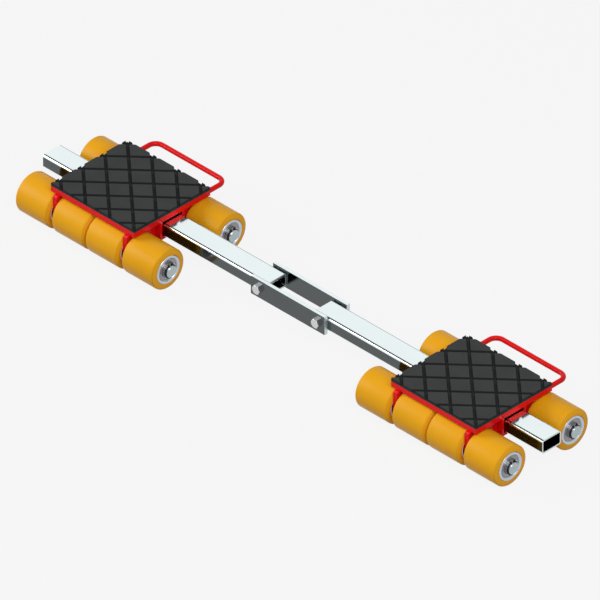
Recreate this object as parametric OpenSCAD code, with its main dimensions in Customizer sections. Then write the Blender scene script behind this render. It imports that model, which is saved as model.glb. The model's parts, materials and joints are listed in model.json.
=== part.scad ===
// Pair of machine skates on one line of bars, for rolling a heavy machine across a floor.
// Each skate carries a rubber-faced deck on two axles of four rollers, and slides along its
// own hollow bar. The two bars meet in the middle, bolted between two flat link plates.
// +X runs along the bars, the carry handles are on the +Y side and +Z is up. The floor is
// Z = 0, left is -X and front is -Y. All sizes are in millimetres.

/* [Rollers] */
// Outer diameter of a roller
roller_d = 85; // [78:1:92]
// Length of a roller
roller_l = 85; // [65:1:105]
// Edge rounding of a roller's tyre
tyre_round = 3.5; // [1:0.5:6]
// Diameter of the flat ring around the hub at the ends of a tyre
tyre_flat_d = 68; // [67:0.5:72]
// Angle by which a tyre's ends slope back from that flat ring to the edge rounding
tyre_slope = 15; // [5:1:30]
// Outer diameter of a roller's steel hub, which is the bore of its tyre
hub_d = 60; // [54:1:66]
// Corner chamfer at the ends of a hub
hub_chamfer = 1; // [0.4:0.1:1.5]
// Gap between the two middle rollers of an axle
middle_gap = 5; // [1:0.5:12]
// Gap between a roller and the web beside it
web_gap = 1.2; // [1:0.1:6]

/* [Bearings] */
// Outer diameter of a ball bearing
bearing_d = 47; // [44:1:50]
// Width of a ball bearing
bearing_w = 12; // [8:1:16]
// Depth of a bearing's face below the end of the hub
bearing_inset = 1; // [0.5:0.1:3]
// Wall of a bearing's outer ring
outer_race_t = 3; // [2:0.1:3.4]
// Wall of a bearing's inner ring, and of the spacer rings that bear on it
inner_race_t = 3.5; // [2.5:0.1:3.8]
// Depth of a bearing's dust shield below the bearing's face
shield_inset = 0.6; // [0.4:0.1:1.5]
// Thickness of a dust shield
shield_t = 0.5; // [0.4:0.1:1]
// Height of the shoulder inside the hub that a bearing is pressed against
hub_shoulder = 3; // [1.5:0.1:4]

/* [Axles] */
// Diameter of an axle
axle_d = 25; // [22:0.5:27]
// Distance between a skate's two axles
axle_spacing = 165.4; // [155:0.2:185]
// Length of axle that stands out past the last roller
axle_overhang = 9.5; // [7:0.5:16]
// Chamfer on the ends of an axle
axle_chamfer = 1.5; // [0.5:0.1:3]
// Length of the spacer ring outside the last roller
outer_spacer_l = 4.1; // [2:0.1:5.5]
// Depth of the groove that holds a retaining ring
ring_groove_depth = 0.6; // [0.4:0.1:1]
// Thickness of a retaining ring
ring_t = 1.2; // [0.8:0.1:2]
// Radial width of a retaining ring opposite its mouth
ring_width = 3.6; // [2.4:0.1:4]
// Width of the mouth of a retaining ring
ring_mouth = 5; // [3:0.5:8]
// Radius of the two ears of a retaining ring
ring_ear_r = 2.4; // [1.8:0.1:3]
// Diameter of the plier hole in an ear
ring_ear_hole_d = 2; // [1.4:0.1:2.4]

/* [Deck] */
// Length of the deck plate along the bar
deck_l = 223; // [205:1:300]
// Width of the deck plate across the bar
deck_w = 202; // [150:1:240]
// Thickness of the deck plate
deck_t = 12; // [8:1:20]
// Gap between the tops of the rollers and the deck plate
deck_gap = 2; // [1:0.5:8]

/* [Grip mat] */
// Thickness of the rubber mat
mat_t = 7.5; // [6.5:0.5:12]
// Depth of the grooves in the mat
groove_depth = 5.5; // [1:0.5:7]
// Width of a groove at the top of the mat
groove_w = 7; // [4:0.5:10]
// Width of a groove at its floor
groove_floor_w = 5; // [2:0.5:8]
// Length of a diamond pad's cell along the bar
pad_pitch_x = 65; // [40:1:90]
// Length of a diamond pad's cell across the bar
pad_pitch_y = 59; // [40:1:90]
// Distance of the groove crossing nearest the mat's middle from it, along the bar
crossing_x = -4; // [-20:1:20]
// Distance of that crossing from the mat's middle across the bar
crossing_y = 4; // [-20:1:20]

/* [Webs] */
// Thickness of the two upright webs that carry a skate's axles
web_t = 10; // [8:1:14]
// Radius of a web's round lower end, about its axle
web_end_r = 25.4; // [20:0.2:30]
// Depth of web left under the guide channel
web_under = 11; // [6:0.5:14]
// Radius of the inner corner between a web's round end and its straight lower edge
web_fillet_r = 8; // [3:0.5:12]
// Chamfer on a web's two top corners
web_chamfer = 3; // [1:0.5:5]

/* [Guide channel] */
// Wall of the guide channel
channel_t = 6; // [4:0.5:7]
// Radius inside the channel's two lower corners
channel_inner_r = 3; // [1:0.5:4]
// Radius outside the channel's two lower corners
channel_outer_r = 3; // [1:0.5:8]
// Gap on each side between the bar and the channel
bar_side_gap = 1; // [0.5:0.1:2]
// Gap between the bar and the floor of the channel that carries it
bar_seat_gap = 0.3; // [0.2:0.1:1]
// Gap between the bar and the deck plate above it
bar_top_gap = 3; // [1:0.5:6]

/* [Bars] */
// Width of a bar across its section
bar_w = 50; // [44:1:56]
// Height of a bar's section
bar_h = 30; // [28:1:34]
// Wall of a bar
bar_t = 3; // [2:0.5:5]
// Outer corner radius of a bar's section
bar_corner_r = 5; // [3.5:0.5:8]
// Length of a bar
bar_l = 600; // [560:1:900]
// Distance of a skate's middle from the middle of the part, at rest
skate_x = 452; // [410:1:500]

/* [Link] */
// Length of a link plate
link_l = 196; // [160:1:240]
// Height of a link plate
link_h = 40; // [32:1:50]
// Thickness of a link plate
link_t = 8; // [5:0.5:10]
// Gap between a bar and the link plate beside it
link_gap = 0.5; // [0.3:0.1:1.5]
// Distance of a link bolt from the end of the plates
bolt_inset = 20; // [14:1:30]
// Length of bar past its link bolt
bar_past_bolt = 16; // [12:1:30]
// Shank diameter of a link bolt
bolt_d = 12; // [8:0.5:14]
// Width across the flats of a bolt's head and nut
hex_af = 18; // [16:0.5:22]
// Height of a bolt's head
head_h = 7.5; // [5:0.5:9]
// Height of the hexagon of a lock nut
nut_h = 9; // [6:0.5:12]
// Height of the round collar on a lock nut
nut_collar_h = 3; // [2:0.5:5]
// Length of bolt that stands out past its nut
bolt_past_nut = 2; // [1:0.5:6]

/* [Carry handle] */
// Diameter of the handle's round bar
handle_d = 10; // [8:0.5:12]
// Distance from the webs' ends to the middle of the handle's grip
handle_reach = 51.6; // [35:0.2:70]
// Bend radius of the handle, at the middle of its bar
handle_bend_r = 18; // [10:1:30]
// Depth of the handle's middle below the deck plate's underside
handle_drop = 5.5; // [5:0.5:12]

/* [Hidden] */
$fn = 64;
// Radial clearance of what is pressed on or bonded, and of the link bolts in their holes
press_gap = 0.05;
bolt_gap = 0.1;
// Clearance between a turning part and the still part that it turns beside
run_gap = 0.3;
// Overshoot of a cutting shape past the face that it cuts
over = 1;

// Heights
axle_z = roller_d / 2;
deck_z = roller_d + deck_gap;
mat_z = deck_z + deck_t;
bar_z = deck_z - bar_top_gap - bar_h;
bar_mid_z = bar_z + bar_h / 2;
channel_floor_z = bar_z - bar_seat_gap;
channel_z = channel_floor_z - channel_t;
belly_z = channel_z - web_under;

// Places along an axle, from the middle of its skate
inner_roller_x = (middle_gap + roller_l) / 2;
web_x = middle_gap / 2 + roller_l + web_gap + web_t / 2;
outer_roller_x = web_x + web_t / 2 + web_gap + roller_l / 2;
row_half = outer_roller_x + roller_l / 2;
axle_half = row_half + axle_overhang;
ring_x = row_half + outer_spacer_l;
roller_xs = [-outer_roller_x, -inner_roller_x, inner_roller_x, outer_roller_x];

// Places across a skate
axle_y = axle_spacing / 2;
web_half = axle_y + web_end_r;
channel_in = bar_w / 2 + bar_side_gap;
channel_out = channel_in + channel_t;
handle_y = web_half + handle_reach;
// The middle line of the bars lies off Y = 0, so that the whole part is centred on it
line_y = (axle_y + axle_z - handle_y - handle_d / 2) / 2;

// Places along the bars, from the middle of the part
bolt_x = link_l / 2 - bolt_inset;
bar_x = bolt_x - bar_past_bolt;
link_face_y = bar_w / 2 + link_gap;
link_out_y = link_face_y + link_t;

// Radii about an axle
axle_hole_r = axle_d / 2 + press_gap;
race_r = axle_d / 2 + inner_race_t;
ring_groove_r = axle_d / 2 - ring_groove_depth;
shoulder_r = bearing_d / 2 - hub_shoulder;
sleeve_l = roller_l - 2 * (bearing_inset + bearing_w);

RED = [0.84, 0.08, 0.08];
YELLOW = [0.89, 0.64, 0.14];
ZINC = [0.86, 0.88, 0.89];
STEEL = [0.66, 0.70, 0.74];
DARK = [0.12, 0.12, 0.13];
RUBBER = [0.22, 0.22, 0.22];

SIDES = [-1, 1];
SKATE_PARTS = ["top_plate", "outboard_web", "inboard_web", "guide_channel", "grip_mat",
    "carry_handle", "front_axle", "rear_axle", "spacer_rings", "retaining_rings",
    "bearing_inner_rings"];
ROLLER_PARTS = ["tyre", "hub"];

function side_name(side) = side < 0 ? "left" : "right";
function row_name(row) = row < 0 ? "front" : "rear";
function skate_node(side, part) = str(side_name(side), "_", part);
function roller_node(side, row, part, n) =
    str(side_name(side), "_", row_name(row), "_", part, "_", n);

// Puts a shape drawn about a skate's middle on the left or right skate
module on_skate(side) translate([side * skate_x, line_y, 0]) children();

// Puts a shape drawn about the X axis on an axle, at x along it
module on_axle(row, x) translate([x, row * axle_y, axle_z]) rotate([0, 90, 0]) children();

// A ring about an axle, from x and l long
module axle_ring(row, x, l, outer_r) {
    on_axle(row, x)
        difference() {
            cylinder(r = outer_r, h = l);
            translate([0, 0, -over]) cylinder(r = axle_hole_r, h = l + 2 * over);
        }
}

// Outline with straight sides, an open top at z = top and round lower corners
module trough_outline(half_w, floor_z, top, corner_r) {
    translate([-half_w, floor_z + corner_r]) square([2 * half_w, top - floor_z - corner_r]);
    translate([-half_w + corner_r, floor_z]) square([2 * (half_w - corner_r), corner_r + over]);
    for (side = SIDES)
        translate([side * (half_w - corner_r), floor_z + corner_r]) circle(r = corner_r);
}

// Rectangle w by h about the origin with round corners
module round_rect(w, h, corner_r) {
    square([w, h - 2 * corner_r], center = true);
    square([w - 2 * corner_r, h], center = true);
    for (sx = SIDES)
        for (sy = SIDES)
            translate([sx * (w / 2 - corner_r), sy * (h / 2 - corner_r)]) circle(r = corner_r);
}

// Polyurethane tyre, cast on to its hub
module tyre(row, n) {
    color(YELLOW)
        on_axle(row, roller_xs[n - 1])
            rotate_extrude() {
                bore = hub_d / 2 + press_gap;
                round_r = axle_z - tyre_round;
                slope_r = round_r + tyre_round * sin(tyre_slope);
                slope_l = roller_l / 2 - (slope_r - tyre_flat_d / 2) * tan(tyre_slope);
                round_l = slope_l - tyre_round * cos(tyre_slope);
                polygon([
                    [bore, -roller_l / 2],
                    [tyre_flat_d / 2, -roller_l / 2],
                    [slope_r, -slope_l],
                    [axle_z, -round_l],
                    [axle_z, round_l],
                    [slope_r, slope_l],
                    [tyre_flat_d / 2, roller_l / 2],
                    [bore, roller_l / 2]
                ]);
                for (end = SIDES)
                    translate([round_r, end * round_l]) circle(r = tyre_round);
            }
}

// Steel hub of a roller, with the outer rings of its two shielded bearings pressed in
module hub(row, n) {
    color(STEEL)
        on_axle(row, roller_xs[n - 1]) {
            rotate_extrude() hub_section();
            for (end = [0, 1])
                mirror([0, 0, end])
                    translate([0, 0, sleeve_l / 2]) rotate_extrude() outer_race_section();
        }
}

module hub_section() {
    difference() {
        polygon([
            [shoulder_r, -roller_l / 2],
            [hub_d / 2 - hub_chamfer, -roller_l / 2],
            [hub_d / 2, -roller_l / 2 + hub_chamfer],
            [hub_d / 2, roller_l / 2 - hub_chamfer],
            [hub_d / 2 - hub_chamfer, roller_l / 2],
            [shoulder_r, roller_l / 2]
        ]);
        for (end = [0, 1])
            mirror([0, end])
                translate([0, sleeve_l / 2 - press_gap])
                    square([bearing_d / 2 + press_gap, roller_l]);
    }
}

// Outer ring of a bearing with a dust shield on both faces, from y = 0
module outer_race_section() {
    race_bore = bearing_d / 2 - outer_race_t;
    shield_bore = race_r + run_gap;
    translate([race_bore, 0]) square([outer_race_t, bearing_w]);
    for (y = [shield_inset, bearing_w - shield_inset - shield_t])
        translate([shield_bore, y]) square([race_bore - shield_bore + outer_race_t / 2, shield_t]);
}

// Flat steel deck plate
module top_plate() {
    color(RED)
        translate([-deck_l / 2, -deck_w / 2, deck_z]) cube([deck_l, deck_w, deck_t]);
}

// Rubber mat bonded to the deck plate, cut into diamond pads by two sets of grooves
module grip_mat() {
    groove_angle = atan(pad_pitch_y / pad_pitch_x);
    groove_step = pad_pitch_x * sin(groove_angle);
    reach = norm([deck_l, deck_w]) / 2 + norm([crossing_x, crossing_y]);
    count = ceil(reach / groove_step);
    color(RUBBER)
        difference() {
            translate([-deck_l / 2, -deck_w / 2, mat_z]) cube([deck_l, deck_w, mat_t]);
            translate([crossing_x, crossing_y, mat_z + mat_t])
                for (way = SIDES)
                    rotate([0, 0, way * groove_angle])
                        for (k = [-count:count])
                            translate([-2 * reach, k * groove_step, 0])
                                rotate([90, 0, 90])
                                    linear_extrude(4 * reach) groove_section();
        }
}

module groove_section() {
    slope = (groove_w - groove_floor_w) / 2 / groove_depth;
    top_half = groove_w / 2 + slope * over;
    polygon([
        [-top_half, over],
        [-groove_floor_w / 2, -groove_depth],
        [groove_floor_w / 2, -groove_depth],
        [top_half, over]
    ]);
}

// Channel section welded under the deck, in which the bar slides
module guide_channel() {
    color(RED)
        translate([-deck_l / 2, 0, 0])
            rotate([90, 0, 90])
                linear_extrude(deck_l)
                    difference() {
                        trough_outline(channel_out, channel_z, deck_z, channel_outer_r);
                        trough_outline(channel_in, channel_floor_z, deck_z + over, channel_inner_r);
                    }
}

// Upright plate that carries both axles, notched for the guide channel
module web(x) {
    color(RED)
        translate([x - web_t / 2, 0, 0])
            rotate([90, 0, 90])
                linear_extrude(web_t)
                    difference() {
                        union() {
                            translate([-axle_y, belly_z]) square([2 * axle_y, deck_z - belly_z]);
                            for (row = SIDES) {
                                web_end(row);
                                web_corner(row);
                            }
                        }
                        trough_outline(channel_out, channel_z, deck_z + over, channel_outer_r);
                        for (row = SIDES)
                            translate([row * axle_y, axle_z]) circle(r = axle_hole_r);
                    }
}

// One end of a web: round about the axle, upright to the deck, with its top corner cut
module web_end(row) {
    translate([row * axle_y, axle_z]) circle(r = web_end_r);
    difference() {
        translate([row * axle_y - web_end_r, axle_z]) square([2 * web_end_r, deck_z - axle_z]);
        translate([row * web_half, deck_z])
            rotate([0, 0, 45]) square(web_chamfer * sqrt(2), center = true);
    }
}

// Fillet between a web's round end and its straight lower edge
module web_corner(row) {
    fillet_z = belly_z - web_fillet_r;
    drop = axle_z - fillet_z;
    span = web_end_r + web_fillet_r;
    fillet_y = axle_y - (drop > 0 ? sqrt(span * span - drop * drop) : span);
    difference() {
        polygon([
            [row * fillet_y, fillet_z],
            [row * fillet_y, belly_z],
            [row * axle_y, belly_z],
            [row * axle_y, max(axle_z, fillet_z)]
        ]);
        translate([row * fillet_y, fillet_z]) circle(r = web_fillet_r);
    }
}

// Round bar bent to a U and welded to the ends of the webs
module carry_handle() {
    leg_l = handle_reach - handle_bend_r;
    grip_half = web_x - handle_bend_r;
    color(RED)
        translate([0, web_half, deck_z - handle_drop]) {
            for (side = SIDES) {
                translate([side * web_x, 0, 0]) rotate([-90, 0, 0]) cylinder(d = handle_d, h = leg_l);
                translate([side * grip_half, leg_l, 0])
                    rotate([0, 0, side < 0 ? 90 : 0])
                        rotate_extrude(angle = 90)
                            translate([handle_bend_r, 0]) circle(d = handle_d);
            }
            translate([-grip_half, handle_reach, 0])
                rotate([0, 90, 0]) cylinder(d = handle_d, h = 2 * grip_half);
        }
}

// Through axle with a retaining-ring groove near each end
module axle(row) {
    radius = axle_d / 2;
    ring_end = ring_x + ring_t + press_gap;
    color(STEEL)
        on_axle(row, 0)
            rotate_extrude()
                polygon([
                    [0, -axle_half],
                    [radius - axle_chamfer, -axle_half],
                    [radius, -axle_half + axle_chamfer],
                    [radius, -ring_end],
                    [ring_groove_r, -ring_end],
                    [ring_groove_r, -ring_x],
                    [radius, -ring_x],
                    [radius, ring_x],
                    [ring_groove_r, ring_x],
                    [ring_groove_r, ring_end],
                    [radius, ring_end],
                    [radius, axle_half - axle_chamfer],
                    [radius - axle_chamfer, axle_half],
                    [0, axle_half]
                ]);
}

// Inner rings of the ball bearings, held still on the axles
module bearing_inner_rings() {
    color(STEEL)
        for (row = SIDES)
            for (x = roller_xs)
                for (ring_from = [-roller_l / 2 + bearing_inset, sleeve_l / 2])
                    axle_ring(row, x + ring_from, bearing_w, race_r);
}

// Spacer rings and sleeves that hold the bearings' inner rings apart along an axle
module spacer_rings() {
    web_spacer_l = web_gap + bearing_inset;
    web_spacer_x = web_x - web_t / 2 - web_spacer_l;
    outer_x = row_half - bearing_inset;
    outer_l = outer_spacer_l + bearing_inset;
    color(ZINC)
        for (row = SIDES) {
            axle_ring(row, -middle_gap / 2 - bearing_inset, middle_gap + 2 * bearing_inset, race_r);
            for (x = [-web_x - web_t / 2 - web_spacer_l, -web_x + web_t / 2,
                    web_spacer_x, web_x + web_t / 2])
                axle_ring(row, x, web_spacer_l, race_r);
            for (x = [-outer_x - outer_l, outer_x])
                axle_ring(row, x, outer_l, race_r);
            for (x = roller_xs)
                axle_ring(row, x - sleeve_l / 2, sleeve_l, race_r);
        }
}

// Spring rings snapped into the axles' grooves, with their mouths at the top
module retaining_rings() {
    color(DARK)
        for (row = SIDES)
            for (x = [-ring_x - ring_t, ring_x])
                translate([x, row * axle_y, axle_z])
                    rotate([90, 0, 90])
                        linear_extrude(ring_t) retaining_ring_outline();
}

// Crescent that narrows towards a mouth at the top, with an ear on each side of it
module retaining_ring_outline() {
    bore = ring_groove_r + press_gap;
    crescent_drop = ring_width / 5;
    crescent_r = bore + ring_width - crescent_drop;
    ear_x = ring_mouth / 2 + ring_ear_r;
    ear_z = sqrt(pow(bore + ring_ear_r, 2) - ear_x * ear_x);
    difference() {
        union() {
            translate([0, -crescent_drop]) circle(r = crescent_r);
            for (side = SIDES)
                translate([side * ear_x, ear_z]) circle(r = ring_ear_r);
        }
        circle(r = bore);
        translate([-ring_mouth / 2, 0]) square([ring_mouth, 2 * crescent_r]);
        for (side = SIDES)
            translate([side * ear_x, ear_z]) circle(d = ring_ear_hole_d);
    }
}

// Hollow rectangular bar, open at both ends and drilled across for its link bolt
module bar(side) {
    least_inner_r = 0.5;
    inner_r = max(bar_corner_r - bar_t, least_inner_r);
    color(ZINC)
        translate([0, line_y, bar_mid_z])
            difference() {
                translate([side < 0 ? -bar_x - bar_l : bar_x, 0, 0])
                    rotate([90, 0, 90])
                        linear_extrude(bar_l)
                            difference() {
                                round_rect(bar_w, bar_h, bar_corner_r);
                                round_rect(bar_w - 2 * bar_t, bar_h - 2 * bar_t, inner_r);
                            }
                translate([side * bolt_x, 0, 0])
                    rotate([90, 0, 0])
                        cylinder(r = bolt_d / 2 + bolt_gap, h = bar_w + 2 * over, center = true);
            }
}

// Flat link plate on the front or rear face of both bars
module link_plate(row) {
    color(ZINC)
        translate([0, line_y + row * (link_face_y + link_t / 2), bar_mid_z])
            difference() {
                cube([link_l, link_t, link_h], center = true);
                for (side = SIDES)
                    translate([side * bolt_x, 0, 0])
                        rotate([90, 0, 0])
                            cylinder(r = bolt_d / 2 + bolt_gap, h = link_t + 2 * over, center = true);
            }
}

// Hexagon about Z from z = 0, with its outer corners turned off at the top
module hexagon(h) {
    corner_r = hex_af / sqrt(3);
    turned_h = 1.2;
    turned_past = 0.2;
    intersection() {
        cylinder(r = corner_r, h = h, $fn = 6);
        union() {
            cylinder(r = corner_r + over, h = h - turned_h);
            translate([0, 0, h - turned_h])
                cylinder(r1 = corner_r + turned_past, r2 = hex_af / 2 - turned_past, h = turned_h);
        }
    }
}

// Hexagon bolts through both link plates and the bars, with their heads at the front
module link_bolts() {
    tip_y = link_out_y + nut_h + nut_collar_h + bolt_past_nut;
    tip_chamfer = 1;
    color(ZINC)
        for (side = SIDES)
            translate([side * bolt_x, line_y, bar_mid_z]) {
                translate([0, -link_out_y, 0]) rotate([90, 0, 0]) hexagon(head_h);
                rotate([-90, 0, 0]) {
                    translate([0, 0, -link_out_y - over])
                        cylinder(d = bolt_d, h = link_out_y + over + tip_y - tip_chamfer);
                    translate([0, 0, tip_y - tip_chamfer])
                        cylinder(d1 = bolt_d, d2 = bolt_d - 2 * tip_chamfer, h = tip_chamfer);
                }
            }
}

// Lock nuts at the rear, each a hexagon with a round collar
module link_nuts() {
    collar_step = 1;
    color(ZINC)
        for (side = SIDES)
            translate([side * bolt_x, line_y + link_out_y, bar_mid_z])
                rotate([-90, 0, 0])
                    difference() {
                        union() {
                            hexagon(nut_h);
                            cylinder(d = hex_af - 2 * collar_step, h = nut_h + nut_collar_h);
                        }
                        translate([0, 0, -over])
                            cylinder(r = bolt_d / 2 + press_gap, h = nut_h + nut_collar_h + 2 * over);
                    }
}

for (side = SIDES) {
    on_skate(side) top_plate();
    on_skate(side) web(side * web_x);
    on_skate(side) web(-side * web_x);
    on_skate(side) guide_channel();
    on_skate(side) grip_mat();
    on_skate(side) carry_handle();
    on_skate(side) axle(-1);
    on_skate(side) axle(1);
    on_skate(side) spacer_rings();
    on_skate(side) retaining_rings();
    on_skate(side) bearing_inner_rings();
    for (row = SIDES)
        for (n = [1:4]) {
            on_skate(side) tyre(row, n);
            on_skate(side) hub(row, n);
        }
}
bar(-1);  // left_bar
bar(1);  // right_bar
link_plate(-1);  // front_link_plate
link_plate(1);  // rear_link_plate
link_bolts();
link_nuts();
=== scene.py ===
# Pair of machine skates on one line of hollow bars, finished piece by piece around the packed
# model. +X runs along the bars, the carry handles are at +Y and the floor is Z = 0, in metres.
import json
from math import atan, cos, hypot, pi, radians, sin, tan

import bmesh
import bpy
from mathutils import Matrix, Vector


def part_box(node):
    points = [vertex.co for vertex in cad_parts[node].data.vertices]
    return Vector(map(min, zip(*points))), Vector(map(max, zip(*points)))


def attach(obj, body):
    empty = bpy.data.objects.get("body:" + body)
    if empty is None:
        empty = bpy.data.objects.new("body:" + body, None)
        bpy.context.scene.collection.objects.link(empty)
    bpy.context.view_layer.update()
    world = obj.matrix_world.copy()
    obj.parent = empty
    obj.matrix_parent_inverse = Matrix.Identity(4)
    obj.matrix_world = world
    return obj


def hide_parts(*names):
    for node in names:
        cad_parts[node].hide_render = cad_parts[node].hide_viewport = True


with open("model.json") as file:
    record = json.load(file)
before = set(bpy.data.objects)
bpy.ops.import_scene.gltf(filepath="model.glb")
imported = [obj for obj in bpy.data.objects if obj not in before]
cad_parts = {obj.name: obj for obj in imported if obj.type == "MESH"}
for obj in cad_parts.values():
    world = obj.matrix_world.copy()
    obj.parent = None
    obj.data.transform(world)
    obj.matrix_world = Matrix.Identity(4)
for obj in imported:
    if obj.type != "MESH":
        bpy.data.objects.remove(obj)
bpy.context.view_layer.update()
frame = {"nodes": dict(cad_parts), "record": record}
MM = 0.001


# Camera
# The photograph looks over the front right corner, 35 degrees down, with no perspective at all.
# A very long lens from far away gives that picture.
PHOTO_PX = 600
PHOTO_PX_PER_M = 533
photo_mid = Vector((-0.01435, -0.00607, 0.05102))
photo_down = radians(35)
photo_back = Vector((1, -1, 2 ** 0.5 * tan(photo_down))).normalized()
half_view = radians(0.6)
camera_far = PHOTO_PX / PHOTO_PX_PER_M / 2 / tan(half_view)
bpy.ops.object.camera_add(location=photo_mid + camera_far * photo_back)
camera = bpy.context.object
camera.rotation_euler = photo_back.to_track_quat("Z", "Y").to_euler()
camera.data.lens = camera.data.sensor_width / 2 / tan(half_view)
camera.data.clip_end = 3 * camera_far
bpy.context.scene.camera = camera
bpy.context.scene.view_settings.view_transform = "Standard"


# Tyres
# Each of the sixteen rollers has a tyre of cast polyurethane, bonded round its steel hub. It is
# turned to size on a lathe, which leaves sloped ends, rounded shoulders and very fine rings.
SIDES = ("left", "right")
ROWS = ("front", "rear")
ROLLERS = (1, 2, 3, 4)
tyre_shoulder_r = 3.5 * MM
tyre_slope = radians(15)
tyre_slope_r = 40.5 * MM
tyre_flat_r = 34 * MM
tyre_bore_r = 30.05 * MM
tyre_bore_edge = 0.4 * MM
slope_fade = 0.5 * MM
flat_fade = 0.3 * MM
tread_tones = ((0.73, 0.340, 0.007), (0.77, 0.364, 0.009))
# The sloped and faced ends get paler tones than the tread, as painted light on the ends.
slope_painted_light_tone = (0.83, 0.405, 0.016)
flat_painted_light_tone = (0.87, 0.375, 0.014)
tyre_roughness = (0.26, 0.36)
noise_reach = (0.3, 0.7)
TOLERANCE = 0.01 * MM
SEAM_GAP = 0.001 * MM


class Shade:
    """A value or colour in a material. Arithmetic on values adds their Math nodes."""

    def __init__(self, tree, socket=None):
        self.tree = tree
        self.socket = socket

    def node(self, kind, inputs=None, output=0, **settings):
        """Adds any other node, with its settings first and then its sockets' values or links."""
        made = self.tree.nodes.new("ShaderNode" + kind)
        for name, value in settings.items():
            setattr(made, name, value)
        for name, value in (inputs or {}).items():
            if isinstance(value, Shade):
                self.tree.links.new(value.socket, made.inputs[name])
            else:
                made.inputs[name].default_value = value
        return Shade(self.tree, made.outputs[output] if made.outputs else None)

    def maths(self, operation, *values):
        return self.node("Math", dict(enumerate(values)), operation=operation)

    def __add__(self, other):
        return self.maths("ADD", self, other)

    def __sub__(self, other):
        return self.maths("SUBTRACT", self, other)

    def __rsub__(self, other):
        return self.maths("SUBTRACT", other, self)

    def __mul__(self, other):
        return self.maths("MULTIPLY", self, other)

    def __gt__(self, other):
        return self.maths("GREATER_THAN", self, other)

    def __abs__(self):
        return self.maths("ABSOLUTE", self)

    __radd__ = __add__
    __rmul__ = __mul__

    def root(self):
        return self.maths("SQRT", self)

    def highest(self, other):
        return self.maths("MAXIMUM", self, other)

    def span(self, low, high, to_low=0, to_high=1):
        """This value, taken from one range to another and held within it."""
        return self.node("MapRange", {0: self, 1: low, 2: high, 3: to_low, 4: to_high})

    def mix(self, first, second):
        """The first colour where this value is 0 and the second where it is 1."""
        tones = [tone if isinstance(tone, Shade) else (*tone, 1) for tone in (first, second)]
        return self.node("Mix", {0: self, 6: tones[0], 7: tones[1]}, output=2, data_type="RGBA")

    def stretched(self, *scales):
        return self.node("VectorMath", {0: self, 1: scales}, operation="MULTIPLY")

    def noise(self, scale, detail=2, **settings):
        """Cloudy noise at this place, or along this value if it is of one dimension. Nearly all of
        it lies within noise_reach, and most within noise_core."""
        place = "W" if settings.get("noise_dimensions") == "1D" else "Vector"
        return self.node("TexNoise", {place: self, "Scale": scale, "Detail": detail}, **settings)

    def bump(self, strength, depth):
        return self.node("Bump", {"Strength": strength, "Distance": depth, "Height": self},
                         output="Normal")

    def surface(self, **sockets):
        """Ends the material with a glossy surface. A socket's name is written with _ for spaces."""
        inputs = {name.replace("_", " "): value for name, value in sockets.items()}
        self.node("OutputMaterial", {"Surface": self.node("BsdfPrincipled", inputs)})


def new_material(name):
    """A new material, and the place on the piece that its pattern starts from."""
    material = bpy.data.materials.new(name)
    material.use_nodes = True
    material.node_tree.nodes.clear()
    return material, Shade(material.node_tree).node("TexCoord", output="Object")


def axes(place):
    return [place.node("SeparateXYZ", {0: place}, output=axis) for axis in "XYZ"]


def middle(node):
    low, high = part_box(node)
    return (low + high) / 2


line_y = (middle("left_front_axle").y + middle("left_rear_axle").y) / 2
axle_y = middle("left_rear_axle").y - line_y
axle_z = middle("left_rear_axle").z


def around_axle(place):
    """Distance from the middle of the nearest axle, and the place along the axle."""
    x, y, z = axes(place)
    across = abs(y - line_y) - axle_y
    up = z - axle_z
    return (across * across + up * up).root(), x


def polyurethane():
    material, place = new_material("cast_polyurethane")
    radius, along = around_axle(place)
    rings = (radius + along).noise(1400, 1, noise_dimensions="1D")
    clouds = place.noise(11, 3)
    grain = place.noise(900, 2)
    tread = clouds.span(*noise_reach).mix(*tread_tones)
    # The sloped ends and the faced ring are painted paler than the tread: painted light.
    sloped = 1 - radius.span(tyre_slope_r - slope_fade, tyre_slope_r)
    trimmed = 1 - radius.span(tyre_flat_r - flat_fade, tyre_flat_r + flat_fade)
    ends = sloped.mix(tread, slope_painted_light_tone)
    place.surface(
        Base_Color=trimmed.mix(ends, flat_painted_light_tone),
        Roughness=(0.5 * clouds + 0.5 * grain).span(*noise_reach, *tyre_roughness),
        Normal=(0.7 * rings + 0.3 * grain).bump(0.2, 0.04 * MM),
        Specular_IOR_Level=0.1)
    return material


def start(add, stretch=(1, 1, 1), **settings):
    """Adds a primitive at its size and place, as a new piece that is open for editing."""
    bpy.ops.object.select_all(action="DESELECT")
    add(**settings)
    piece = bpy.context.object
    piece.scale = stretch
    bpy.ops.object.transform_apply(location=True, rotation=True, scale=True)
    bpy.ops.object.mode_set(mode="EDIT")
    return piece


def pick(kind, wanted):
    """Selects just those vertices, edges or faces that wanted says yes to."""
    bpy.ops.mesh.select_mode(type=kind)
    bpy.ops.mesh.select_all(action="DESELECT")
    mesh = bmesh.from_edit_mesh(bpy.context.object.data)
    for item in {"VERT": mesh.verts, "EDGE": mesh.edges, "FACE": mesh.faces}[kind]:
        if wanted(item):
            item.select_set(True)
    mesh.select_flush_mode()
    bmesh.update_edit_mesh(bpy.context.object.data)


def ring_section(inner_r, outer_r, length):
    """Starts the section of a ring about the X axis, as one upright face above it."""
    return start(bpy.ops.mesh.primitive_plane_add, (length, outer_r - inner_r, 1), size=1,
                 location=(0, 0, (inner_r + outer_r) / 2), rotation=(pi / 2, 0, 0))


def close_seams():
    bpy.ops.mesh.select_all(action="SELECT")
    bpy.ops.mesh.remove_doubles(threshold=SEAM_GAP)
    bpy.ops.mesh.normals_make_consistent(inside=False)


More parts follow.
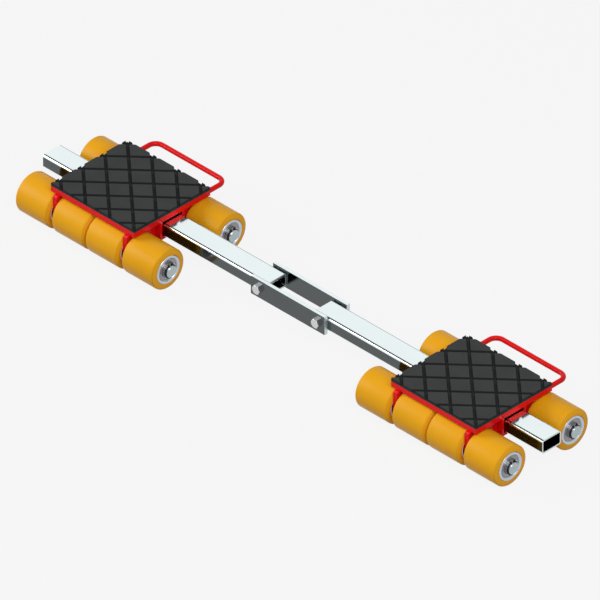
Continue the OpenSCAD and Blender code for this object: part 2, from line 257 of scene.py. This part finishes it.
def lathe(steps=96):
    """Turns the outline of the open section once about the X axis, to a closed ring."""
    bpy.ops.mesh.select_mode(type="FACE")
    bpy.ops.mesh.select_all(action="SELECT")
    bpy.ops.mesh.dissolve_faces()
    bpy.ops.mesh.delete(type="ONLY_FACE")
    bpy.ops.mesh.select_mode(type="EDGE")
    bpy.ops.mesh.select_all(action="SELECT")
    bpy.ops.mesh.spin(steps=steps, angle=2 * pi, center=(0, 0, 0), axis=(1, 0, 0))
    close_seams()


def close(piece, material, smooth=30):
    """Ends the editing, smooths what is round and gives the piece its material."""
    bpy.ops.object.mode_set(mode="OBJECT")
    bpy.ops.object.shade_smooth_by_angle(angle=radians(smooth))
    piece.data.materials.clear()
    piece.data.materials.append(material)


def fit(pattern, name, body, at=(0, 0, 0), replaced=()):
    """Puts a copy of the pattern, with its own mesh, in its place on a body of the model."""
    piece = bpy.data.objects.new(name, pattern.data.copy())
    piece.data.name = name
    piece.data.transform(Matrix.Translation(at))
    bpy.context.collection.objects.link(piece)
    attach(piece, body)
    if replaced:
        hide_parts(*replaced)
    return piece


def drop(*patterns):
    for pattern in patterns:
        bpy.data.objects.remove(pattern)


tyre_low, tyre_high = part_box("left_front_tyre_1")
roller_l = tyre_high.x - tyre_low.x
tyre_r = (tyre_high.z - tyre_low.z) / 2
tyre = ring_section(tyre_bore_r, tyre_r, roller_l)
bpy.ops.mesh.select_all(action="SELECT")
bpy.ops.mesh.bisect(plane_co=(0, 0, tyre_flat_r), plane_no=(0, 0, 1))
pick("VERT", lambda corner: corner.co.z > tyre_flat_r + TOLERANCE)
sloped_off = (tyre_r - tyre_flat_r) * tan(tyre_slope)
bpy.ops.transform.resize(value=(1 - 2 * sloped_off / roller_l, 1, 1))
bpy.ops.mesh.bevel(offset=tyre_shoulder_r * tan(pi / 4 - tyre_slope / 2), segments=8,
                   affect="VERTICES")
pick("VERT", lambda corner: corner.co.z < tyre_bore_r + TOLERANCE)
bpy.ops.mesh.bevel(offset=tyre_bore_edge, segments=2, affect="VERTICES")
lathe(steps=128)
close(tyre, polyurethane())
rollers = [(side, row, n) for side in SIDES for row in ROWS for n in ROLLERS]
for side, row, n in rollers:
    node = f"{side}_{row}_tyre_{n}"
    fit(tyre, node + "_cast", f"{side}_{row}_roller_{n}",
        at=middle(node), replaced=[node])
drop(tyre)


# Hubs
# A steel sleeve carries each tyre. Its ends are faced and chamfered, and it is bored at both ends
# for a ball bearing, down to a shoulder.
hub_edge = 1 * MM
hub_bore_edge = 1.6 * MM
bearing_r = 23.5 * MM
bearing_w = 12 * MM
bearing_inset = 1 * MM
hub_shoulder = 3 * MM
hub_tone = (0.51, 0.59, 0.67)
turned_dulling = 0.86
noise_core = (0.35, 0.65)


def turned_steel(name, tone, roughness, ring_scale, spread=0.03):
    """Steel from the lathe, with fine rings about its axle."""
    material, place = new_material(name)
    radius, along = around_axle(place)
    rings = (radius + along).noise(ring_scale, 2, noise_dimensions="1D")
    clouds = place.noise(60, 2)
    dull = tuple(turned_dulling * part for part in tone)
    place.surface(
        Base_Color=(0.6 * rings + 0.4 * clouds).span(*noise_core).mix(dull, tone),
        Metallic=1,
        Roughness=rings.span(*noise_reach, roughness - spread, roughness + spread),
        Normal=rings.bump(0.3, 0.05 * MM))
    return material


hub_low, hub_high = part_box("left_front_hub_1")
hub_r = (hub_high.z - hub_low.z) / 2
shoulder_x = roller_l / 2 - bearing_inset - bearing_w
hub = ring_section(bearing_r, hub_r, roller_l)
pick("VERT", lambda corner: corner.co.z > (bearing_r + hub_r) / 2)
bpy.ops.mesh.bevel(offset=hub_edge, segments=1, affect="VERTICES")
pick("VERT", lambda corner: corner.co.z < bearing_r + TOLERANCE)
bpy.ops.mesh.bevel(offset=hub_bore_edge, segments=1, affect="VERTICES")
for end in (-1, 1):
    bpy.ops.mesh.select_all(action="SELECT")
    bpy.ops.mesh.bisect(plane_co=(end * shoulder_x, 0, 0), plane_no=(1, 0, 0))
pick("EDGE", lambda edge: all(abs(corner.co.x) < shoulder_x + TOLERANCE
                              and corner.co.z < bearing_r + TOLERANCE for corner in edge.verts))
bpy.ops.mesh.extrude_region_move(TRANSFORM_OT_translate={"value": (0, 0, -hub_shoulder)})
lathe()
close(hub, turned_steel("turned_hub_steel", hub_tone, roughness=0.26, ring_scale=2600))
for side, row, n in rollers:
    node = f"{side}_{row}_hub_{n}"
    fit(hub, node + "_sleeve", f"{side}_{row}_roller_{n}",
        at=middle(node), replaced=[node])
drop(hub)


# Bearings
# Two shielded ball bearings are pressed into each hub. Their outer rings turn with the roller, and
# a thin pressed shield on each face keeps the dirt out. Only the outer shield shows, and only it
# is modelled.
outer_race_t = 3 * MM
race_edge = 0.6 * MM
shield_inset = 0.6 * MM
shield_t = 0.5 * MM
shield_bore_r = 16.3 * MM
shield_step = 0.35 * MM
shield_creases = (0.2, 0.32, 0.72, 0.84)
shield_bite = 0.2 * MM
bearing_tone = (0.31, 0.30, 0.315)


def shield_section(inner_r, outer_r, face_x):
    """Adds a shield's section to the open mesh, with its middle band pressed inwards."""
    def in_shield(corner, low, high):
        return (low - TOLERANCE < corner.co.z < high + TOLERANCE
                and abs(corner.co.x - face_x) < 2 * shield_t)

    bpy.ops.mesh.primitive_plane_add(size=1, rotation=(pi / 2, 0, 0), location=(
        face_x - shield_t / 2, 0, (inner_r + outer_r) / 2))
    bpy.ops.transform.resize(value=(shield_t, 1, outer_r - inner_r))
    creases = [inner_r + share * (outer_r - inner_r) for share in shield_creases]
    for crease in creases:
        pick("FACE", lambda face: all(in_shield(corner, inner_r, outer_r) for corner in face.verts))
        bpy.ops.mesh.bisect(plane_co=(0, 0, crease), plane_no=(0, 0, 1))
    pick("VERT", lambda corner: in_shield(corner, creases[1], creases[2]))
    bpy.ops.transform.translate(value=(-shield_step, 0, 0))


race_bore_r = bearing_r - outer_race_t
bearings = ring_section(race_bore_r, bearing_r, bearing_w)
pick("VERT", lambda corner: True)
bpy.ops.mesh.bevel(offset=race_edge, segments=3, affect="VERTICES")
shield_section(shield_bore_r, race_bore_r + shield_bite, bearing_w / 2 - shield_inset)
lathe(steps=80)
close(bearings, turned_steel("ground_bearing_steel", bearing_tone, roughness=0.22, ring_scale=1500))
for side, row, n in rollers:
    body = f"{side}_{row}_roller_{n}"
    hub_mid = middle(f"{side}_{row}_hub_{n}")
    for end, turned in (("outer", 1), ("inner", -1)):
        offset = Vector((turned * (roller_l / 2 - bearing_inset - bearing_w / 2), 0, 0))
        bearing = fit(bearings, f"{body}_bearing_{end}", body)
        if turned < 0:
            bearing.data.transform(Matrix.Rotation(pi, 4, "Z"))
        bearing.data.transform(Matrix.Translation(hub_mid + offset))
drop(bearings)


# Inner rings and spacers
# The inner rings of the bearings stay still on the axles, held apart by zinc-plated spacer rings
# and by a sleeve inside each roller.
inner_ring_tone = (0.34, 0.335, 0.34)
spacer_tone = (0.50, 0.49, 0.50)
plate_dulling = 0.9
# The next tones are near-white painted highlights for the bars and link plates.
highlight_tones = ((0.86, 0.95, 0.955), (0.90, 0.985, 0.99))
sawn_tone = (0.62, 0.70, 0.71)
sawn_roughening = 0.35


def zinc(name, tone, roughness, painted_highlight=None, sawn=None):
    """Bright zinc plate with faint drawn streaks. The last two functions take the place on the
    piece and give 1 where a bright highlight is painted in, or where it is sawn and so rougher."""
    material, place = new_material(name)
    streaks = place.stretched(1, 22, 22).noise(26, 3)
    clouds = place.noise(15, 3)
    dull = tuple(plate_dulling * part for part in tone)
    mottled = (0.5 * streaks + 0.5 * clouds).span(*noise_core)
    finish = mottled.mix(dull, tone)
    # Where the highlight function gives 1, a near-white highlight is painted into the colour.
    if painted_highlight:
        finish = painted_highlight(place).mix(finish, mottled.mix(*highlight_tones))
    matt = (0.6 * streaks + 0.4 * clouds).span(*noise_reach, roughness - 0.03, roughness + 0.04)
    if sawn:
        ends = sawn(place)
        finish = ends.mix(finish, sawn_tone)
        matt = matt + sawn_roughening * ends
    place.surface(
        Base_Color=finish,
        Metallic=1,
        Roughness=matt,
        Normal=streaks.bump(0.12, 0.03 * MM))
    return material


def coat(node, material):
    """Gives a node of the model its material."""
    for place in frame["nodes"][node].material_slots:
        place.material = material


ring_steel = turned_steel("inner_ring_steel", inner_ring_tone, roughness=0.25, ring_scale=1500)
spacer_zinc = zinc("spacer_zinc", spacer_tone, roughness=0.28)
for side in SIDES:
    coat(side + "_bearing_inner_rings", ring_steel)
    coat(side + "_spacer_rings", spacer_zinc)


# Axles
# A ground steel bar runs right through the webs and four rollers, chamfered at both ends and
# grooved for its retaining rings.
axle_tone = (0.44, 0.50, 0.51)
axle_steel = turned_steel("ground_axle_steel", axle_tone, roughness=0.24, ring_scale=3000,
                          spread=0.02)
for side in SIDES:
    for row in ROWS:
        coat(f"{side}_{row}_axle", axle_steel)


# Retaining rings
# A black phosphated spring ring is snapped into the groove at each end of an axle, with the two
# ears of its open mouth at the top.
spring_tones = ((0.006, 0.006, 0.007), (0.014, 0.014, 0.015))
spring_roughness = (0.34, 0.5)


def phosphate():
    material, place = new_material("black_phosphate")
    grain = place.noise(2500, 2)
    place.surface(
        Base_Color=grain.mix(*spring_tones),
        Roughness=grain.span(*noise_reach, *spring_roughness),
        Normal=grain.bump(0.2, 0.03 * MM),
        Specular_IOR_Level=0.2)
    return material


black_spring = phosphate()
for side in SIDES:
    coat(side + "_retaining_rings", black_spring)


# Webs, channels and deck plates
# Each skate's frame is welded from steel: two upright plates on the axles, a channel section that
# the bar slides in, and a flat deck plate. It is sprayed with glossy red enamel. Round the bar, in
# the channel's passage, the colour is painted near black as painted shade.
plate_edge = 0.35 * MM
flat_within = radians(0.3)
sharp_from = radians(35)
bar_low, bar_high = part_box("right_bar")
bar_mid = (bar_low + bar_high) / 2
bar_half = (bar_high - bar_low) / 2
passage_side_gap = 1.1 * MM
passage_floor_gap = 0.4 * MM
passage_roof_depth = 0.1 * MM
passage_half_w = bar_half.y + passage_side_gap
passage_low = bar_low.z - passage_floor_gap
passage_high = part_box("right_top_plate")[0].z + passage_roof_depth
# The passage round the bar is painted near black, as painted shade.
passage_shade_tone = (0.008, 0.007, 0.007)
enamel_tones = ((0.70, 0.006, 0.007), (0.76, 0.008, 0.009))
enamel_roughness = (0.18, 0.28)


def red_enamel():
    material, place = new_material("red_enamel")
    y, z = axes(place)[1:]
    peel = place.noise(420, 2)
    clouds = place.noise(9, 2)
    beside_bar = passage_half_w - abs(y - bar_mid.y) > 0
    # Inside the channel, round the bar, the enamel is painted near black: painted shade.
    passage_shade = beside_bar * (z > passage_low) * (passage_high - z > 0)
    paint = clouds.span(*noise_reach).mix(*enamel_tones)
    place.surface(
        Base_Color=passage_shade.mix(paint, passage_shade_tone),
        Roughness=(0.5 * clouds + 0.5 * peel).span(*noise_reach, *enamel_roughness),
        Normal=peel.bump(0.02, 0.05 * MM),
        Specular_IOR_Level=0.1)
    return material


def round_edges(piece, width, from_angle):
    """Rounds the edges of the active piece that are sharper than an angle."""
    rounding = piece.modifiers.new("rounded_edges", "BEVEL")
    rounding.width = width
    rounding.segments = 2
    rounding.limit_method = "ANGLE"
    rounding.angle_limit = from_angle
    rounding.harden_normals = True
    bpy.ops.object.modifier_apply(modifier=rounding.name)


def soften(node, edge, material):
    """Starts from a merged copy of a node's solid and rounds its sharp edges a little."""
    piece = bpy.data.objects.new(node + "_softened", frame["nodes"][node].data.copy())
    bpy.context.collection.objects.link(piece)
    bpy.ops.object.select_all(action="DESELECT")
    bpy.context.view_layer.objects.active = piece
    piece.select_set(True)
    bpy.ops.object.mode_set(mode="EDIT")
    bpy.ops.mesh.select_all(action="SELECT")
    bpy.ops.mesh.remove_doubles(threshold=SEAM_GAP)
    bpy.ops.mesh.dissolve_limited(angle_limit=flat_within)
    bpy.ops.object.mode_set(mode="OBJECT")
    bpy.ops.mesh.customdata_custom_splitnormals_clear()
    round_edges(piece, edge, sharp_from)
    piece.data.materials.clear()
    piece.data.materials.append(material)
    return piece


enamel = red_enamel()
for side in SIDES:
    for part in ("outboard_web", "inboard_web", "guide_channel", "top_plate"):
        node = f"{side}_{part}"
        solid = soften(node, plate_edge, enamel)
        fit(solid, node + "_painted", side + "_skate", replaced=[node])
        drop(solid)


# Carry handles
# A round steel bar is bent to a U and welded to the rear ends of both webs, and painted with them.
handle_low, handle_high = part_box("left_carry_handle")
handle_mid = middle("left_carry_handle")
handle_r = (handle_high.z - handle_low.z) / 2
handle_bend_r = 18 * MM
leg_x = (handle_high.x - handle_low.x) / 2 - handle_r
leg_l = handle_high.y - handle_low.y - handle_r - handle_bend_r
grip_l = 2 * (leg_x - handle_bend_r)
bend_steps = 12


def draw_out(*way):
    bpy.ops.mesh.extrude_region_move(TRANSFORM_OT_translate={"value": way})


handle = start(bpy.ops.mesh.primitive_circle_add, vertices=32, radius=handle_r,
               location=(-leg_x, handle_low.y, handle_mid.z), rotation=(pi / 2, 0, 0))
draw_out(0, leg_l, 0)
for bend, way in ((-1, (grip_l, 0, 0)), (1, (0, -leg_l, 0))):
    bpy.ops.mesh.spin(steps=bend_steps, angle=pi / 2, axis=(0, 0, 1), center=(
        bend * (leg_x - handle_bend_r), handle_low.y + leg_l, handle_mid.z))
    draw_out(*way)
pick("EDGE", lambda edge: edge.is_boundary)
bpy.ops.mesh.edge_face_add()
close_seams()
close(handle, enamel, smooth=40)
for side in SIDES:
    node = side + "_carry_handle"
    fit(handle, node + "_bent", side + "_skate",
        at=(middle(node).x, 0, 0), replaced=[node])
drop(handle)


# Grip mats
# A black rubber mat is bonded to each deck plate. Two sets of moulded grooves cross it and leave
# diamond pads, which stop the load from slipping.
mat_low, mat_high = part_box("left_grip_mat")
mat_l = mat_high.x - mat_low.x
mat_w = mat_high.y - mat_low.y
mat_mid = middle("right_grip_mat")
groove_depth = 5.5 * MM
groove_w = 7 * MM
groove_floor_w = 5 * MM
pad_pitch_x = 65 * MM
pad_pitch_y = 59 * MM
crossing = Vector((-4 * MM, 4 * MM, 0))
pad_edge = 0.5 * MM
rim_edge = 1.8 * MM
cut_side_h = 5 * MM
cut_side_fade = 0.5 * MM
rim_fade = (-0.3 * MM, -0.1 * MM)
# Below these heights the mat fades to a darker tone: painted shade in the grooves.
shade_fades_from = mat_high.z - 1.2 * MM
shade_gone_at = mat_high.z - 0.2 * MM
pad_sharp_from = radians(50)
pad_tones = ((0.042, 0.043, 0.043), (0.049, 0.050, 0.050))
groove_shade_tone = (0.023, 0.024, 0.025)
cut_side_tone = (0.012, 0.042, 0.042)
rubber_roughness = (0.62, 0.78)
groove_angle = atan(pad_pitch_y / pad_pitch_x)
groove_step = pad_pitch_x * sin(groove_angle)
groove_normals = [Vector((-way * sin(groove_angle), cos(groove_angle), 0)) for way in (-1, 1)]
grooves_out = int(hypot(mat_l, mat_w) / 2 / groove_step) + 1


def rubber():
    material, place = new_material("black_rubber")
    x, y, z = axes(place)
    pebble = place.noise(1100, 2)
    clouds = place.noise(26, 3)
    # The grooves are painted darker than the pad tops, as painted shade.
    top = z.span(shade_fades_from, shade_gone_at)
    mottled = clouds.span(*noise_core).mix(*pad_tones)
    past_end = abs(abs(x) - mat_mid.x) - mat_l / 2
    past_side = abs(y - mat_mid.y) - mat_w / 2
    rim = past_end.highest(past_side).span(*rim_fade)
    cut_high = mat_low.z + cut_side_h
    cut_side = rim * (1 - z.span(cut_high - cut_side_fade, cut_high))
    place.surface(
        Base_Color=cut_side.mix(top.mix(groove_shade_tone, mottled), cut_side_tone),
        Roughness=(0.6 * clouds + 0.4 * pebble).span(*noise_reach, *rubber_roughness),
        Normal=pebble.bump(0.25, 0.08 * MM),
        Specular_IOR_Level=0.05)
    return material


def groove_gap(point):
    """Distance from the middle line of the nearest groove."""
    away = [(normal.dot(point - crossing) + groove_step / 2) % groove_step - groove_step / 2
            for normal in groove_normals]
    return min(map(abs, away))


mat = start(bpy.ops.mesh.primitive_plane_add, (mat_l, mat_w, 1), size=1,
            location=(0, 0, mat_high.z))
for normal in groove_normals:
    for groove in range(-grooves_out, grooves_out + 1):
        for edge in (-groove_w / 2, -groove_floor_w / 2, groove_floor_w / 2, groove_w / 2):
            bpy.ops.mesh.select_all(action="SELECT")
            bpy.ops.mesh.bisect(plane_co=crossing + (groove * groove_step + edge) * normal,
                                plane_no=normal)
pick("VERT", lambda v: groove_gap(Vector((v.co.x, v.co.y, 0))) < groove_floor_w / 2 + TOLERANCE)
bpy.ops.transform.translate(value=(0, 0, -groove_depth))
pick("EDGE", lambda edge: edge.is_boundary)
draw_out(0, 0, -(mat_high.z - mat_low.z))
bpy.ops.transform.resize(value=(1, 1, 0), center_override=(0, 0, mat_low.z))
bpy.ops.mesh.edge_face_add()
close_seams()
pick("EDGE", lambda edge: all(v.co.z > mat_high.z - TOLERANCE for v in edge.verts) and any(
    all(abs(abs(v.co[axis]) - half) < TOLERANCE for v in edge.verts)
    for axis, half in ((0, mat_l / 2), (1, mat_w / 2))))
bpy.ops.mesh.bevel(offset=rim_edge, segments=2, affect="EDGES", clamp_overlap=True)
bpy.ops.object.mode_set(mode="OBJECT")
round_edges(mat, pad_edge, pad_sharp_from)
mat.data.materials.append(rubber())
for side in SIDES:
    node = side + "_grip_mat"
    fit(mat, node + "_moulded", side + "_skate",
        at=(middle(node).x, mat_mid.y, 0), replaced=[node])
drop(mat)


# Bars
# Two lengths of hollow rectangular bar, drawn, sawn square, deburred and bright zinc plated.
# Their tops, undersides and long corners are painted bright as highlights, their sides dark grey
# as painted shade.
bar_edge = 0.4 * MM
bar_corner_r = 5 * MM
# The dark grey paints the shade on the sides of the bars and link plates.
bar_shaded_tone = (0.104, 0.114, 0.117)
bar_roughness = 0.13
sawn_depths = (0.3 * MM, 0.1 * MM)
highlight_beside = (3.0 * MM, 3.4 * MM)
highlight_above = (0.2 * MM, 0.6 * MM)
rear_highlight_shift = 2 * MM


def sawn_end(along, half_length):
    """1 on the end faces, at this distance along from the middle of a piece."""
    return along.span(*(half_length - depth for depth in sawn_depths))


def flat_highlight(up, half_height):
    """1 on the top and bottom, where a highlight is painted, at this height above the middle of a
    piece.
    """
    return abs(up) > half_height - TOLERANCE


def bar_highlight(place):
    """1 where a highlight is painted: on the flats and on the long corners, in a wider band on the
    rear ones.
    """
    y, z = axes(place)[1:]
    beside = abs(y - bar_mid.y) - (bar_half.y - bar_corner_r)
    above = abs(z - bar_mid.z) - (bar_half.z - bar_corner_r)
    shift = rear_highlight_shift * (y - bar_mid.y > 0)
    corner = (beside + shift).span(*highlight_beside) * above.span(*highlight_above)
    return corner.highest(flat_highlight(z - bar_mid.z, bar_half.z))


def bar_ends(place):
    return sawn_end(abs(abs(axes(place)[0]) - bar_mid.x), bar_half.x)


bar_zinc = zinc("bar_zinc", bar_shaded_tone, bar_roughness, bar_highlight, bar_ends)
for side in SIDES:
    node = side + "_bar"
    solid = soften(node, bar_edge, bar_zinc)
    fit(solid, node + "_plated", side + "_rail", replaced=[node])
    drop(solid)


# Link plates
# Two flat plates clasp the inner ends of the bars and join them into one line. They are sawn from
# flat bar, with the edges broken, and zinc plated like the bars.
link_low, link_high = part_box("front_link_plate")
link_mid = (link_low + link_high) / 2
link_half = (link_high - link_low) / 2


# The plates' tops and bottoms are painted bright as a highlight; their sides keep the dark painted
# shade.
def link_highlight(place):
    return flat_highlight(axes(place)[2] - link_mid.z, link_half.z)


def link_ends(place):
    return sawn_end(abs(axes(place)[0]), link_half.x)


link_zinc = zinc("link_zinc", bar_shaded_tone, bar_roughness, link_highlight, link_ends)
for row in ROWS:
    node = row + "_link_plate"
    solid = soften(node, bar_edge, link_zinc)
    fit(solid, node + "_plated", "link", replaced=[node])
    drop(solid)


# Link bolts and nuts
# A hexagon bolt goes through both plates and a bar at each end of the link, with a lock nut
# behind, whose collar grips a nylon ring. They are bought plated, a little whiter than the bars.
bolt_edge = 0.3 * MM
bolt_r = 6 * MM
nylon_r = 7.2 * MM
nylon_l = 2 * MM
nylon_edge = 0.3 * MM
nylon_proud = 0.3 * MM
bolt_tone = (0.68, 0.665, 0.67)
nylon_tones = ((0.020, 0.070, 0.240), (0.026, 0.085, 0.280))
nylon_roughness = (0.36, 0.48)


def nylon():
    material, place = new_material("blue_nylon")
    clouds = place.noise(400, 2)
    place.surface(
        Base_Color=clouds.mix(*nylon_tones),
        Roughness=clouds.span(*noise_reach, *nylon_roughness),
        Normal=clouds.bump(0.1, 0.03 * MM))
    return material


bolt_zinc = zinc("bolt_zinc", bolt_tone, roughness=0.22)
for node in ("link_bolts", "link_nuts"):
    solid = soften(node, bolt_edge, bolt_zinc)
    fit(solid, node + "_plated", "link", replaced=[node])
    drop(solid)
insert = ring_section(bolt_r, nylon_r, nylon_l)
pick("VERT", lambda corner: corner.co.z > bolt_r + TOLERANCE)
bpy.ops.mesh.bevel(offset=nylon_edge, segments=2, affect="VERTICES")
lathe(steps=48)
close(insert, nylon())
insert.data.transform(Matrix.Rotation(pi / 2, 4, "Z"))
nut_end_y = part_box("link_nuts")[1].y
for joint in frame["record"]["behaviour"]["joints"]:
    if joint["name"].endswith("_fold"):
        bolt_x, _, bolt_z = joint["pos_m"]
        fit(insert, joint["name"].replace("fold", "nut_insert"), "link",
            at=(bolt_x, nut_end_y + nylon_proud - nylon_l / 2, bolt_z))
drop(insert)


# Studio
# A plain pale floor without an edge, a low key lamp on the left and a higher soft one in front on
# the right. The camera sees the background in one even tone, apart from the object's shadow.
PALE = (0.920, 0.920, 0.920)
ambient = (0.36, 0.36, 0.36)
floor_size = 12
floor_tone = (0.30, 0.30, 0.30)
floor_glow = 0.886
lamp_far = 6


def seen_directly(place):
    """1 where the camera sees the background, itself or in gloss or glass."""
    paths = [place.node("LightPath", output=path) for path in (
        "Is Camera Ray", "Is Glossy Ray", "Is Transmission Ray")]
    return (paths[0] + paths[1] + paths[2]) > 0.5


def pale_floor():
    material, place = new_material("pale_floor")
    lit = place.node("BsdfDiffuse", {"Color": (*floor_tone, 1)})
    glow = place.node("Emission", {"Color": (1, 1, 1, 1), "Strength": 1})
    shown = place.node("MixShader", {0: seen_directly(place) * floor_glow, 1: lit, 2: glow})
    place.node("OutputMaterial", {"Surface": shown})
    return material


floor = start(bpy.ops.mesh.primitive_plane_add, size=floor_size)
close(floor, pale_floor())
floor.name = "floor"

studio = bpy.data.worlds.new("studio")
studio.use_nodes = True
studio.node_tree.nodes.clear()
bpy.context.scene.world = studio
air = Shade(studio.node_tree)
sky = air.node("Background", {"Color": seen_directly(air).mix(ambient, PALE), "Strength": 1})
air.node("OutputWorld", {"Surface": sky})


def softbox(name, way, width, height, radiance):
    """A rectangular lamp, as far away as all are, turned to the object's middle."""
    back = Vector(way).normalized()
    bpy.ops.object.light_add(type="AREA", location=photo_mid + lamp_far * back,
                             rotation=back.to_track_quat("Z", "Y").to_euler())
    lamp = bpy.context.object
    lamp.name = name
    lamp.data.shape = "RECTANGLE"
    lamp.data.size = width
    lamp.data.size_y = height
    lamp.data.energy = radiance * pi * width * height


softbox("left_key", way=(-1, -0.6, 0.55), width=3.8, height=3.2, radiance=5.4)
softbox("front_right_softbox", way=(1, -0.65, 1.2), width=4.4, height=3.6, radiance=4.1)
